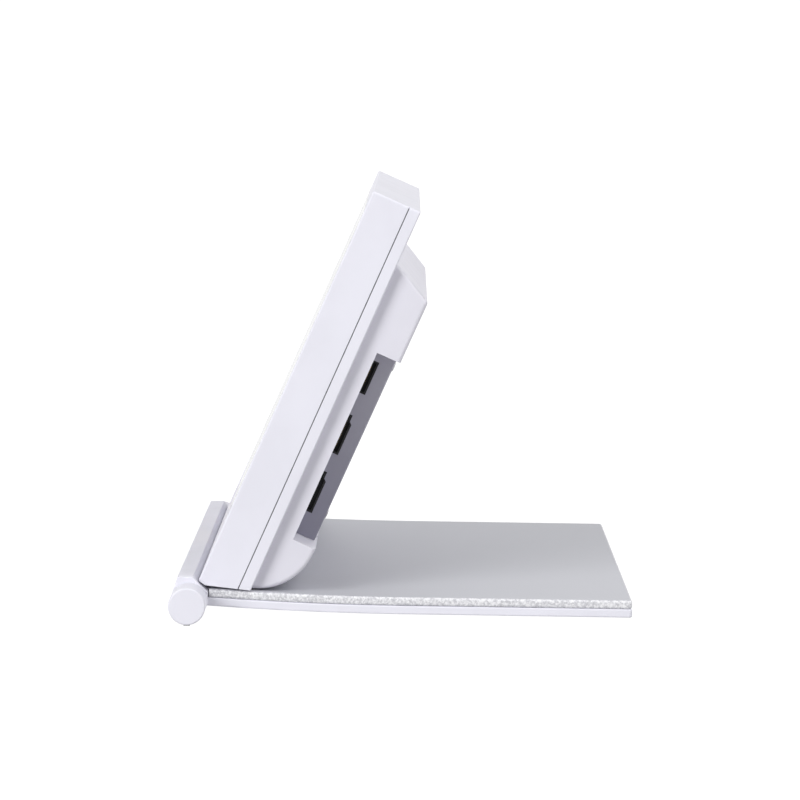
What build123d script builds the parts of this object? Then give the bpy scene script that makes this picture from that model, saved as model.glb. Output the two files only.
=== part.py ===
from build123d import *
import math
import os

# Folding desktop video magnifier.
#
# A flat screen head leans back on a friction hinge over a reading plate. A housing across the back
# of the head ends in a round lobe about the hinge axis; it holds the camera, the lamps, the battery
# and the sockets, and the head folds back on that lobe until it lies flat over the plate. The plate
# is aluminium on a moulded base plate, and both sweep up to a bar along the front.
#
# Row frame: x to the user's right, the screen faces -y, z up, origin on the table under the middle
# of the object. Head frame: x as before, y ("v") through the head from the hinge axis towards the
# back, z ("u") up the screen, origin on the hinge axis. Sizes are millimetres and degrees.

# ---- Clearances ----
running_gap = 0.05        # hinge pin in the bracket eye, radial
seat_gap = 0.02           # pins, plugs and screws in pieces that they don't turn in
key_gap = 0.3             # button in its hole, radial
inlay_gap = 0.15          # glass, windows and covers in their rebates, all round
slot_gap = 1.0            # hinge bracket in the slots that it sweeps
lobe_gap = 0.75           # lobe above the reading plate
foot_gap = 0.35           # how far the casing's foot reaches past the lobe's circle
bar_gap = 0.55            # casing's foot past the front bar
tip_gap = 0.2             # screw tip above the bottom of its hole
root = 0.5                # how far a post or rib runs into the wall that carries it
past = 1.0                # how far a cutting shape runs past what it cuts

# ---- Screen head ----
head_width = 340.0        # casing, side to side
head_reach = 183.3        # hinge axis to the top end
lean = 24.1               # from the vertical, at rest
fold_travel = 66.0        # from rest to flat over the plate
face_offset = 17.4        # hinge axis to the front face
bezel_depth = 20.3        # front face to the parting line
shell_depth = 6.3         # parting line to the casing's back
casing_wall = 2.4
face_wall = 3.0
foot_angle = 17.35        # underside of the casing against the head's own square
toe_depth = 4.1           # front face to the lowest line of the foot
toe_rise = 0.8            # front face's lower edge above that line
corner_round = 1.4        # top corners, seen from the front
edge_round = 0.8
groove_width = 0.5        # shadow groove at the parting line, down both sides and along the foot
groove_depth = 0.9

# ---- Screen ----
side_border = 22.0        # casing edge to the clear screen
top_border = 14.8
screen_foot = 1.5         # clear screen's lower edge above the hinge axis
glass_lap = 3.0           # glass past the clear screen
glass_thickness = 1.5
panel_lap = 4.0           # display panel past the clear screen
panel_thickness = 1.8
light_thickness = 3.0
frame_thickness = 1.2
frame_lap = 5.0           # display frame past the panel, sides and top
frame_skirt = 9.0         # display frame past the panel, at the hinge
cable_window = (62.0, 118.0, 42.5, 144.5)  # hole in the display frame: x range and height range

# ---- Housing on the back of the head ----
lobe_radius = 31.0
housing_inset = 6.0       # housing's end inside the casing's side
housing_wall = 2.5
housing_rise = 153.9      # top of the slant, where it meets the casing
housing_brow = 142.1      # lower edge of the slant
brow_depth = 31.7         # how far back that edge is from the hinge axis
housing_round = 2.0
boss_drop = 12.0          # housing screws below the brow
boss_insets = (20.0, 44.0)  # housing screws inside the casing's side
boss_pilot = 9.0

# ---- Equipment bay ----
bay_foot = 2.3            # lower wall above the hinge axis
bay_top = 108.0           # upper wall above the hinge axis
bay_wall = 2.3
bay_floor_rise = 3.8      # front wall of the plug space behind the casing
bay_floor_wall = 2.0
bay_mouth_rise = 9.2      # the housing's side wall ends this far behind the casing, for the plugs
plug_space = 32.0         # housing's end to the sockets
cover_wall = 2.2
cover_set = 1.5           # cover below the housing's back
cover_rise = 2.0          # cover's walls end this far behind the casing
cover_round = 0.8
cover_screw_insets = (12.0, 34.0)  # screws inside the cover's left and right ends
cover_screw_foot = 14.0
cover_screw_drop = 8.0    # upper cover screws below the bay's upper wall
cover_pilot = 8.0
cover_bite = 6.0          # length of the cover screws in their pillars
vent_count = 9
vent_pitch = 7.0
vent_width = 1.8
vent_length = 22.0
vent_drop = 12.0          # vents below the bay's upper wall

# ---- Sockets ----
socket_depth = 14.0
socket_rise = 13.2        # edge of the mouths nearest the back, behind the casing
socket_height = 7.2
socket_lip = 0.9
socket_well = 6.0
socket_set = 0.3          # socket's face inside the cover's
socket_step = 1.4         # corner step of the two longer sockets
socket_step_length = 3.6
tongue_half = 0.7         # plug tongue inside the two data sockets
tongue_short = 3.2        # tongue's ends inside the mouth's
tongue_set = 1.2
contact_pin_radius = 1.2  # pin inside the power socket
contact_pin_set = 1.5
socket_board_lap = 1.0    # board past the sockets
socket_board_set = 0.5
socket_board_margins = (5.0, 4.0)  # board inside the bay, at its foot and at its top
socket_post_margins = (10.0, 8.0)
# Mouth of each socket: low end above the hinge axis, length and corner step.
sockets = {
    "hdmi_socket": (82.9, 18.5, 0.0),
    "usb_socket": (48.4, 22.2, socket_step),
    "power_socket": (15.0, 23.0, socket_step),
}

# ---- Buttons ----
key_names = ("power_key", "colour_key", "zoom_out_key", "zoom_in_key", "freeze_key", "light_key")
key_pitch = 30.0
key_radius = 8.0
key_flange = 2.2          # retaining flange past the key
key_flange_thickness = 1.2
key_sunk = 0.3            # key's rim below the casing's face
key_round = 0.4
key_dish_radius = 6.6
key_dish = 0.4            # depth of the dish in the key's face
key_travel = 0.8
key_drop = 19.0           # row of keys below the hinge axis
stem_radius = 2.5
stem_length = 3.8
switch_size = 6.0
switch_height = 3.6
switch_slack = 0.1        # stem to switch once the key is down
board_thickness = 1.6
key_board_half = 6.0      # key board above and below the row of keys
key_board_pilot = 5.0

# ---- Main board ----
main_board = (-100.0, 40.0, 55.0, 150.0)  # x range and height range
standoff = 3.0
standoff_radius = 2.8
standoff_inset = 6.0
# Blocks on the main board: x range, height range and thickness.
main_board_parts = (
    (-60, -28, 92, 124, 2.2),
    (-18, -4, 96, 120, 1.2),
    (4, 30, 66, 74, 3.0),
    (-90, -72, 70, 130, 2.6),
)

# ---- Battery and speakers ----
battery_half = 75.0
battery_foot = 20.0
battery_rise = 68.0
battery_clearance = 2.6   # battery to the bay cover
battery_round = 3.0
rib_height = 5.0
rib_thickness = 2.0
speaker_inset = 28.0      # speaker's middle inside the casing's side
speaker_half = 17.0
speaker_rise = 15.0
speaker_depth = 8.0
speaker_drop = 9.5        # speaker's foot below the row of keys
speaker_slots = 6
speaker_slot_pitch = 4.4
speaker_slot_width = 1.6
speaker_slot_length = 11.0
speaker_slot_foot = 2.0   # slots above the speaker's foot

# ---- Camera and lamps ----
camera_rise = 11.8        # lens's middle behind the casing
camera_drop = 18.0        # lens's middle below the brow
camera_turn = 45.0        # lens axis below the square of the housing's back
lens_radius = 6.0
lens_wall = 1.4
lens_length = 9.0
lens_recess = 3.0
camera_board_half = (12.0, 8.0)
camera_wedge_half = 9.0
camera_wedge_length = 20.0
window_half = 52.0
window_foot = 7.0         # camera window above the bay's upper wall
window_drop = 6.0         # camera window below the brow
window_lap = 2.0
window_thickness = 1.5
window_set = 0.05
lamp_gap = 8.0            # lamp windows beside the camera window
lamp_inset = 46.0         # lamp windows' outer ends inside the housing's end
lamp_foot = 12.0          # lamp windows above the bay's upper wall
lamp_drop = 11.0          # lamp windows below the brow
lamp_rise = 3.0           # lamp board behind the housing's wall
lamp_count = 6
led_half = 2.0
led_proud = 1.4
lamp_peg_radius = 1.6
lamp_peg_inset = 5.0

# ---- Hinge ----
hinge_inset = 60.0        # bracket's middle inside the casing's side
pin_radius = 4.0
pin_head_radius = 6.0
pin_head = 2.0
pin_tail = 3.0            # pin past the outer cheek
eye_radius = 7.5
bracket_thickness = 3.0
neck_width = 10.0
bracket_foot_length = 30.0
bracket_foot_width = 24.0
bracket_seat = 0.4        # bracket's foot let into the base plate
bracket_screw_inset = 6.7
washer_thickness = 0.8
washer_radius = 6.8
cheek_thickness = 3.5
cheek_radius = 6.2
yoke_reach = 30.0
yoke_web = 2.4
yoke_web_foot = 10.5      # web's lower edge above the hinge axis
clip_mouth_half = 2.8

# ---- Base ----
plate_overhang = 9.0      # plates past the folded head's top end
plate_setback = 1.0       # plates inside the casing's side
rear_lift = 0.5           # base plate's rear edge above the table
rear_slope = 0.75
flat_length = 118.6       # straight part of the plates, from the rear edge
sweep_radius = 1700.0     # upward sweep of the front part, at the underside
base_thickness = 4.4
reading_thickness = 4.6
reading_round = 1.4
base_round = 0.8
plate_corner = 1.6
plate_gap = 0.5           # reading plate short of the bar
tongue_depth = 3.6        # base plate's front edge in the bar's slot

# ---- Front bar ----
bar_radius = 9.5
bar_bore = 4.2
bar_crest = 12.25         # flat top above the bar's axis
crest_front = 5.9         # flat top's front edge ahead of the axis
crest_round = 0.4
bar_overhang = 5.0        # bar past the casing's side
bar_proud = 0.25          # foot strip below the bar
cap_length = 23.0
cap_plug = 12.0
cap_round = 0.9
seam = 0.25               # chamfers at the joint between the bar and its caps
strip_width = 3.2
strip_depth = 1.4

# ---- Rubber feet ----
foot_radius = 7.0
foot_inset = 16.0
foot_sink = 0.9

# ---- Fasteners ----
screw_radius = 1.5
screw_head_radius = 2.7
screw_head = 1.5
screw_recess = 0.3        # heads below the base plate's underside
plate_bite = 2.5          # plate screws into the reading plate
post_radius = 3.2
casing_screw_inset = 8.0
casing_screw_drop = 11.3  # upper screws below the top end
casing_screw_foot = 10.0  # lower screws below the hinge axis
casing_pilot = 6.0
frame_post_radius = 2.4
frame_post_gap = 2.8      # display frame's posts beside the panel
frame_post_foot = 20.0
frame_post_drop = 30.0    # upper posts below the top end
pilot_floor = 1.0

# ---- Derived: head frame ----
face_v = -face_offset
parting_v = face_v + bezel_depth
back_v = parting_v + shell_depth
inner_face_v = face_v + face_wall
toe_v = face_v + toe_depth
heel_u = -math.sqrt((lobe_radius + foot_gap) ** 2 - back_v ** 2)
foot_slope = math.tan(math.radians(foot_angle))
toe_u = heel_u - (back_v - toe_v) * foot_slope
head_half = head_width / 2
inner_half = head_half - casing_wall
inner_top = head_reach - casing_wall
screen_half = head_half - side_border
screen_top = head_reach - top_border
panel_half = screen_half + panel_lap
panel_back_v = inner_face_v + panel_thickness
light_back_v = panel_back_v + light_thickness
frame_back_v = light_back_v + frame_thickness
frame_half = panel_half + frame_lap
frame_foot = screen_foot - panel_lap - frame_skirt
frame_top = screen_top + panel_lap + frame_lap
shell_inner_v = back_v - casing_wall
housing_half = head_half - housing_inset
bay_floor = back_v + bay_floor_rise
bay_mouth = back_v + bay_mouth_rise
socket_back = back_v + socket_rise
cover_half = housing_half - plug_space
hinge_x = head_half - hinge_inset
cheek_x = hinge_x + bracket_thickness / 2 + washer_thickness
stem_top_v = inner_face_v + key_flange_thickness + stem_length
key_board_v = stem_top_v + key_travel + switch_slack + switch_height
key_post_x = len(key_names) / 2 * key_pitch
speaker_x = head_half - speaker_inset
speaker_foot = -key_drop - speaker_drop
casing_screw_x = head_half - casing_screw_inset
casing_screw_us = (head_reach - casing_screw_drop, head_reach / 2, -casing_screw_foot)
frame_post_x = panel_half + frame_post_gap
frame_post_us = (frame_post_foot, head_reach - frame_post_drop)
boss_u = housing_brow - boss_drop
boss_xs = [head_half - inset for inset in boss_insets]
socket_board_x = cover_half - cover_wall - socket_depth - socket_board_lap
socket_board_v = socket_back - socket_height - board_thickness
socket_post_us = (bay_foot + socket_post_margins[0], bay_top - socket_post_margins[1])
cover_screw_xs = (cover_screw_insets[0] - cover_half, cover_half - cover_screw_insets[1])
cover_screw_spots = [(x, u) for x in cover_screw_xs for u in (cover_screw_foot, bay_top - cover_screw_drop)]
battery_depth = lobe_radius - cover_set - cover_wall - back_v - battery_clearance
lamp_x0 = window_half + lamp_gap
lamp_x1 = housing_half - lamp_inset
brow_distance = math.hypot(brow_depth, housing_brow)
tangent_angle = math.atan2(housing_brow, brow_depth) - math.acos(lobe_radius / brow_distance)

# ---- Derived: row frame ----
slope = math.radians(rear_slope)
plate_reach = head_reach + plate_overhang
rise_to_bend = rear_lift + flat_length * math.tan(slope)
sweep_to_hinge = math.asin(math.sin(slope) + (plate_reach - flat_length) / sweep_radius)
under_hinge_z = rise_to_bend + sweep_radius * (math.cos(slope) - math.cos(sweep_to_hinge))
hinge_over_base = lobe_radius + lobe_gap + reading_thickness + base_thickness
pivot_z = under_hinge_z + hinge_over_base / math.cos(sweep_to_hinge)
bar_z = bar_radius + bar_proud
toe_reach = math.hypot(face_offset, toe_u + toe_rise)
bar_distance = toe_reach + bar_gap + bar_radius
bar_ahead = math.sqrt(bar_distance ** 2 - (pivot_z - bar_z) ** 2)
pivot_y = (bar_ahead + bar_radius - plate_reach) / 2
plate_rear = pivot_y + plate_reach
bar_y = pivot_y - bar_ahead
bend_y = plate_rear - flat_length
plate_half = head_half - plate_setback
sweep_centre_y = bend_y + sweep_radius * math.sin(slope)
sweep_centre_z = rise_to_bend + sweep_radius * math.cos(slope)
head_place = Pos(0, pivot_y, pivot_z) * Rot(-lean, 0, 0)
plate_place = Pos(0, pivot_y, pivot_z) * Rot(-math.degrees(sweep_to_hinge), 0, 0)
base_top_n = -hinge_over_base + base_thickness
low_end = (Align.CENTER, Align.CENTER, Align.MIN)


def block(x0, x1, y0, y1, z0, z1):
    """Box between two corners."""
    return Pos(x0, y0, z0) * Box(x1 - x0, y1 - y0, z1 - z0, align=(Align.MIN,) * 3)


def prism(points, x0, x1):
    """Solid from x0 to x1 whose side outline is a closed polygon of (y, z) points."""
    outline = make_face(Polyline(*points, close=True))
    return extrude(Plane.YZ.offset(x0) * outline, x1 - x0)


def rod_x(radius, x0, x1, y=0.0, z=0.0):
    """Cylinder along x."""
    return Pos(x0, y, z) * Rot(0, 90, 0) * Cylinder(radius, x1 - x0, align=low_end)


def rod_v(radius, x, u, v0, v1):
    """Cylinder through the head, from v0 to v1."""
    return Pos(x, v0, u) * Rot(-90, 0, 0) * Cylinder(radius, v1 - v0, align=low_end)


def rod_z(radius, x, y, z0, z1):
    """Upright cylinder."""
    return Pos(x, y, z0) * Cylinder(radius, z1 - z0, align=low_end)


def hole_v(x, u, v0, v1):
    """Screw hole through the head, from v0 to v1."""
    return rod_v(screw_radius + seat_gap, x, u, v0, v1)


def screw_v(x, u, tip_v, seat_v):
    """Pan-head screw through the head: its head lies behind seat_v."""
    head = rod_v(screw_head_radius, x, u, seat_v, seat_v + screw_head)
    return head + rod_v(screw_radius, x, u, tip_v, seat_v)


def sides():
    """Both ends of the object, with the name and the sign of x."""
    return (("left", -1), ("right", 1))


def mirror_to(side, shape):
    """Piece drawn for the right-hand end, put at the end that the sign names."""
    return shape if side > 0 else mirror(shape, about=Plane.YZ)


def foot_line(v):
    """Height of the casing's sloping underside."""
    return heel_u - (back_v - v) * foot_slope


def back_line(u):
    """Depth of the housing's back at a height above the lobe."""
    return (lobe_radius - u * math.sin(tangent_angle)) / math.cos(tangent_angle)


# ---- Base: two plates, the hinge brackets and the feet ----


def sweep_angle(y, height):
    """Angle round the sweep's centre at which the layer at that height reaches y."""
    return math.degrees(math.asin((sweep_centre_y - y) / (sweep_radius - height)))


def underside(y):
    """Height of the base plate's underside at y."""
    if y < bend_y:
        return sweep_centre_z - math.sqrt(sweep_radius ** 2 - (sweep_centre_y - y) ** 2)
    return rear_lift + (plate_rear - y) * math.tan(slope)


def plate_layer(bottom, top, front_y, half_width):
    """Layer of the swept plate between two heights over the base's underside."""
    layer_edges = []
    ends = []
    for height in (bottom, top):
        radius = sweep_radius - height
        rear = (plate_rear, rear_lift + height / math.cos(slope))
        bend = (sweep_centre_y - radius * math.sin(slope), sweep_centre_z - radius * math.cos(slope))
        travel = sweep_angle(front_y, height) - rear_slope
        arc = CenterArc((sweep_centre_y, sweep_centre_z), radius, 270 - rear_slope, -travel)
        layer_edges += [Line(rear, bend), arc]
        ends.append((rear, arc @ 1))
    layer_edges += [Line(ends[0][0], ends[1][0]), Line(ends[0][1], ends[1][1])]
    outline = make_face(layer_edges)
    return extrude(Plane.YZ.offset(-half_width) * outline, 2 * half_width)


def round_plate(plate, edge_radius):
    """Round the rear corners and then the upper and lower rims of a plate."""
    at_rear = plate.edges().filter_by(lambda e: abs(e.center().Y - plate_rear) < 0.1)
    corners = at_rear.filter_by(lambda e: abs(e.center().X) > 1)
    plate = fillet(corners, plate_corner)
    faces = plate.faces().filter_by(lambda f: abs(f.normal_at().Z) > 0.9)
    rims = []
    for edge in [e for f in faces for e in f.edges()]:
        runs_across = abs(edge.tangent_at(0.5).X) > 0.99
        if not runs_across or edge.center().Y > plate_rear - 1:
            rims.append(edge)
    return fillet(rims, edge_radius)


def bracket_block(x0, x1, half_length, n0, n1):
    """Box under the hinge, square to the plates, between two distances from the hinge axis."""
    return plate_place * block(x0, x1, -half_length, half_length, n0, n1)


def bracket_x_range(grow):
    """Extent of the bracket's foot along x; the foot points to the middle of the object."""
    outer = hinge_x + bracket_thickness / 2
    return outer - bracket_foot_width - grow, outer + grow


def build_base():
    """Base plate with its seats, and the reading plate on it."""
    tongue_y = bar_y + math.sqrt(bar_radius ** 2 - bar_proud ** 2) - tongue_depth
    base = plate_layer(0, base_thickness, tongue_y, plate_half)
    reading_front = bar_y + bar_radius + plate_gap
    reading = plate_layer(base_thickness, base_thickness + reading_thickness, reading_front, plate_half)
    base = round_plate(base, base_round)
    reading = round_plate(reading, reading_round)
    foot_half = bracket_foot_length / 2
    for _, side in sides():
        x0, x1 = bracket_x_range(0)
        seat = bracket_block(x0, x1, foot_half, base_top_n - bracket_seat, base_top_n + past)
        base -= mirror_to(side, seat)
        x0, x1 = bracket_x_range(key_gap)
        above = base_top_n + 2 * reading_thickness
        window = bracket_block(x0, x1, foot_half + key_gap, base_top_n - past, above)
        reading -= mirror_to(side, window)
    return base, reading


def plate_screw_spots():
    """Places of the screws that hold the reading plate."""
    xs = (-plate_half + foot_inset, 0, plate_half - foot_inset)
    ys = (plate_rear - 2.5 * foot_inset, (pivot_y + plate_rear) / 2 - foot_inset)
    return [(x, y) for x in xs for y in ys]


def base_screws(base, reading):
    """Screws from below, through the base plate into the reading plate."""
    screws = []
    for x, y in plate_screw_spots():
        under = underside(y)
        low = under + screw_recess
        tip = under + base_thickness + plate_bite
        seat = low + screw_head
        screws.append(rod_z(screw_head_radius, x, y, low, seat) + rod_z(screw_radius, x, y, low, tip))
        base -= rod_z(screw_head_radius + seat_gap, x, y, under - past, seat)
        base -= rod_z(screw_radius + seat_gap, x, y, under, under + base_thickness + past)
        reading -= rod_z(screw_radius + seat_gap, x, y, under, tip)
    return base, reading, screws


def hinge_brackets(base):
    """Steel brackets: an eye round the hinge pin, a neck and a foot screwed down from below."""
    brackets = {}
    screws = []
    x0, x1 = bracket_x_range(0)
    foot_n = base_top_n - bracket_seat
    foot_top = foot_n + bracket_thickness
    foot = block(x0, x1, -bracket_foot_length / 2, bracket_foot_length / 2, foot_n, foot_top)
    neck_x0 = hinge_x - bracket_thickness / 2
    neck = block(neck_x0, x1, -neck_width / 2, neck_width / 2, foot_n, 0)
    eye = rod_x(eye_radius, neck_x0, x1)
    bracket = foot + neck + eye - rod_x(pin_radius + running_gap, neck_x0 - past, x1 + past)
    screw_x = x0 + bracket_screw_inset
    low = -hinge_over_base + screw_recess
    for y in (-bracket_foot_length / 3, bracket_foot_length / 3):
        hole = rod_z(screw_radius + seat_gap, screw_x, y, low - past, foot_top + past)
        sink = rod_z(screw_head_radius + seat_gap, screw_x, y, low - 2 * past, low + screw_head)
        head = rod_z(screw_head_radius, screw_x, y, low, low + screw_head)
        shank = rod_z(screw_radius, screw_x, y, low, foot_top - tip_gap)
        bracket -= hole
        for _, side in sides():
            base -= mirror_to(side, plate_place * hole)
            base -= mirror_to(side, plate_place * sink)
            screws.append(mirror_to(side, plate_place * (head + shank)))
    for name, side in sides():
        brackets[name] = mirror_to(side, plate_place * bracket)
    return base, brackets, screws


def rear_feet(base):
    """Rubber feet let into the base plate near its rear corners and along its middle."""
    feet = []
    for x in (-plate_half + 2 * foot_inset, plate_half - 2 * foot_inset):
        for y in (plate_rear - foot_inset, bend_y):
            foot = rod_z(foot_radius, x, y, 0, underside(y) + foot_sink)
            feet.append(foot)
            base -= foot
    return base, feet


# ---- Front bar ----


def bar_section():
    """Section of the bar: round below, with a flat crest hollowed for the sweep of the casing's foot."""
    reach = math.hypot(crest_front, bar_crest)
    touch = math.atan2(bar_crest, -crest_front) + math.acos(bar_radius / reach)
    front = (bar_radius * math.cos(touch), bar_radius * math.sin(touch))
    crest = ((bar_radius, bar_crest), (-crest_front, bar_crest))
    upper = Polyline((0, 0), (bar_radius, 0), *crest, front, close=True)
    section = Pos(bar_y, bar_z) * (Circle(bar_radius) + make_face(upper))
    return section - Pos(pivot_y, pivot_z) * Circle(toe_reach + bar_gap)


def build_bar(base):
    """Front bar: bored, with a slot for the base plate; plugged end caps and a foot strip."""
    bar_half = head_half + bar_overhang
    bar = extrude(Plane.YZ.offset(-bar_half) * bar_section(), 2 * bar_half)
    crest_edges = bar.edges().filter_by(Axis.X).filter_by(lambda e: e.center().Z > bar_z + bar_crest - seam)
    bar = fillet(crest_edges, crest_round)
    for end in (0, -1):
        bar = chamfer(bar.faces().sort_by(Axis.X)[end].edges(), seam)
    bar -= rod_x(bar_bore, -bar_half - past, bar_half + past, bar_y, bar_z)
    strip_half = bar_half + cap_length - cap_round
    strip_y0 = bar_y - strip_width / 2
    strip_y1 = bar_y + strip_width / 2
    groove = block(-strip_half, strip_half, strip_y0, strip_y1, -past, strip_depth)
    strip = block(-strip_half, strip_half, strip_y0, strip_y1, 0, strip_depth)
    caps = {}
    for name, side in sides():
        cap = rod_x(bar_radius, bar_half, bar_half + cap_length, bar_y, bar_z)
        rims = cap.edges().filter_by(GeomType.CIRCLE).sort_by(Axis.X)
        cap = fillet(rims[-1], cap_round)
        cap = chamfer(cap.edges().filter_by(GeomType.CIRCLE).sort_by(Axis.X)[0], seam)
        cap += rod_x(bar_bore - seat_gap, bar_half - cap_plug, bar_half + past, bar_y, bar_z)
        caps[name] = mirror_to(side, cap - groove)
    bar -= groove
    bar -= base & block(-plate_half, plate_half, bar_y, bar_y + 2 * bar_radius, 0, 2 * bar_radius)
    return bar, caps, strip


# ---- Head casing ----


def casing_outline():
    """Side outline of the whole casing."""
    return [
        (face_v, head_reach),
        (back_v, head_reach),
        (back_v, heel_u),
        (toe_v, toe_u),
        (face_v, toe_u + toe_rise),
    ]


def casing_solid():
    """Whole casing as one solid with its corners and edges rounded."""
    casing = prism(casing_outline(), -head_half, head_half)
    corners = casing.edges().filter_by(Axis.Y).filter_by(lambda e: e.center().Z > head_reach - past)
    casing = fillet(corners, corner_round)
    for end in (0, -1):
        casing = fillet(casing.faces().sort_by(Axis.Y)[end].edges(), edge_round)
    return casing


def casing_cavity(v0, v1):
    """Hollow of the casing between two depths."""
    lift = casing_wall / math.cos(math.radians(foot_angle))
    outline = [(v0, inner_top), (v1, inner_top), (v1, foot_line(v1) + lift), (v0, foot_line(v0) + lift)]
    return prism(outline, -inner_half, inner_half)


def parting_groove():
    """Shadow groove at the parting line, down both sides of the casing and along its foot."""
    v0 = parting_v - groove_width / 2
    v1 = parting_v + groove_width / 2
    outer = block(-head_width, head_width, v0, v1, -head_reach, 2 * head_reach)
    core_half = head_half - groove_depth
    core = block(-core_half, core_half, v0, v1, foot_line(parting_v) + groove_depth, 3 * head_reach)
    return outer - core


def key_x(index):
    """Place of a key along the row."""
    return (index - (len(key_names) - 1) / 2) * key_pitch


def build_bezel(casing, sweeps):
    """Front half of the casing: screen opening, key holes, speaker slots and screw posts."""
    bezel = casing & block(-head_width, head_width, face_v - past, parting_v, -head_reach, 2 * head_reach)
    bezel -= casing_cavity(inner_face_v, parting_v + past)
    bezel -= parting_groove()
    bezel -= block(-screen_half, screen_half, face_v - past, inner_face_v + past, screen_foot, screen_top)
    rim = glass_lap + inlay_gap
    rim_half = screen_half + rim
    rebate_v = face_v + glass_thickness
    bezel -= block(-rim_half, rim_half, face_v - past, rebate_v, screen_foot - rim, screen_top + rim)
    for index in range(len(key_names)):
        bezel -= rod_v(key_radius + key_gap, key_x(index), -key_drop, face_v - past, inner_face_v + past)
    slot_foot = speaker_foot + speaker_slot_foot
    slot_top = slot_foot + speaker_slot_length
    half = speaker_slot_width / 2
    for side in (-1, 1):
        for step in range(speaker_slots):
            x = side * speaker_x + (step - (speaker_slots - 1) / 2) * speaker_slot_pitch
            bezel -= block(x - half, x + half, face_v - past, inner_face_v + past, slot_foot, slot_top)
        for u in casing_screw_us:
            x = side * casing_screw_x
            post = rod_v(post_radius, x, u, inner_face_v - root, shell_inner_v)
            bezel += post - hole_v(x, u, parting_v - casing_pilot, back_v)
        for u in frame_post_us:
            x = side * frame_post_x
            post = rod_v(frame_post_radius, x, u, inner_face_v - root, light_back_v)
            bezel += post - hole_v(x, u, inner_face_v + pilot_floor, back_v)
        x = side * key_post_x
        post = rod_v(post_radius, x, -key_drop, inner_face_v - root, key_board_v)
        bezel += post - hole_v(x, -key_drop, key_board_v - key_board_pilot, back_v)
    for sweep in sweeps:
        bezel -= sweep
    return bezel


def hinge_sweep():
    """Room that a bracket's neck needs inside the head from rest to flat, at the right-hand end."""
    half = bracket_thickness / 2 + slot_gap
    reach = hinge_over_base
    start = lean - math.degrees(sweep_to_hinge)
    end = start + fold_travel
    neck_half = neck_width / 2 + slot_gap
    room = rod_x(eye_radius + slot_gap, hinge_x - half, hinge_x + half)
    fan = [(0.0, 0.0)]
    fan_reach = 1.2 * reach
    for angle in (start, (start + end) / 2, end):
        turn = math.radians(angle)
        fan.append((fan_reach * math.sin(turn), -fan_reach * math.cos(turn)))
        strip = block(hinge_x - half, hinge_x + half, -neck_half, neck_half, -reach, 0)
        room += Rot(angle, 0, 0) * strip
    return room + prism(fan, hinge_x - half, hinge_x + half)


def build_rear_shell(casing, sweeps):
    """Back half of the casing, with the battery ribs and the posts of the socket board."""
    shell = casing & block(-head_width, head_width, parting_v, back_v + past, -head_reach, 2 * head_reach)
    shell -= casing_cavity(parting_v - past, shell_inner_v)
    shell -= parting_groove()
    for rib_u in (battery_foot - rib_thickness - key_gap, battery_foot + battery_rise + key_gap):
        rib_top = rib_u + rib_thickness
        shell += block(-battery_half, battery_half, shell_inner_v, back_v + rib_height, rib_u, rib_top)
    for u in socket_post_us:
        x = socket_board_x + socket_depth / 2
        shell += rod_v(post_radius, x, u, shell_inner_v, socket_board_v)
        shell -= hole_v(x, u, back_v + root, socket_board_v + past)
    for side in (-1, 1):
        for u in casing_screw_us:
            x = side * casing_screw_x
            shell -= hole_v(x, u, parting_v, back_v + past)
            shell -= rod_v(screw_head_radius + seat_gap, x, u, back_v - screw_head, back_v + past)
        for x in boss_xs:
            shell -= hole_v(side * x, boss_u, parting_v, back_v + past)
    for sweep in sweeps:
        shell -= sweep
    return shell


def build_screen():
    """Glass, display panel, backlight and the sheet-steel frame that carries them."""
    glass_half = screen_half + glass_lap
    glass_v = face_v + glass_thickness
    glass = block(-glass_half, glass_half, face_v, glass_v, screen_foot - glass_lap, screen_top + glass_lap)
    low = screen_foot - panel_lap
    high = screen_top + panel_lap
    panel = block(-panel_half, panel_half, inner_face_v, panel_back_v, low, high)
    light = block(-panel_half, panel_half, panel_back_v, light_back_v, low, high)
    frame = block(-frame_half, frame_half, light_back_v, frame_back_v, frame_foot, frame_top)
    x0, x1, u0, u1 = cable_window
    frame -= block(x0, x1, light_back_v - past, back_v, u0, u1)
    for side in (-1, 1):
        for u in frame_post_us:
            frame -= hole_v(side * frame_post_x, u, light_back_v - past, back_v)
    return glass, panel, light, frame


def build_main_board(frame):
    """Main board on the frame's standoffs, with its largest parts."""
    board_v = frame_back_v + standoff
    board_back = board_v + board_thickness
    x0, x1, u0, u1 = main_board
    board = block(x0, x1, board_v, board_back, u0, u1)
    spots = []
    for x in (x0 + standoff_inset, x1 - standoff_inset):
        for u in (u0 + standoff_inset, u1 - standoff_inset):
            spots.append((x, u))
    for x, u in spots:
        frame += rod_v(standoff_radius, x, u, frame_back_v - root, board_v)
        frame -= hole_v(x, u, frame_back_v, back_v)
        board -= hole_v(x, u, frame_back_v, back_v)
    for x0, x1, u0, u1, thickness in main_board_parts:
        board += block(x0, x1, board_back, board_back + thickness, u0, u1)
    return frame, board, spots


def build_key_board():
    """Key board: one switch behind each key."""
    half = key_post_x + key_board_half
    low = -key_drop - key_board_half
    board = block(-half, half, key_board_v, key_board_v + board_thickness, low, low + 2 * key_board_half)
    s = switch_size / 2
    for index in range(len(key_names)):
        x = key_x(index)
        board += block(x - s, x + s, key_board_v - switch_height, key_board_v, -key_drop - s, -key_drop + s)
    for side in (-1, 1):
        board -= hole_v(side * key_post_x, -key_drop, key_board_v - past, back_v)
    return board


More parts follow.
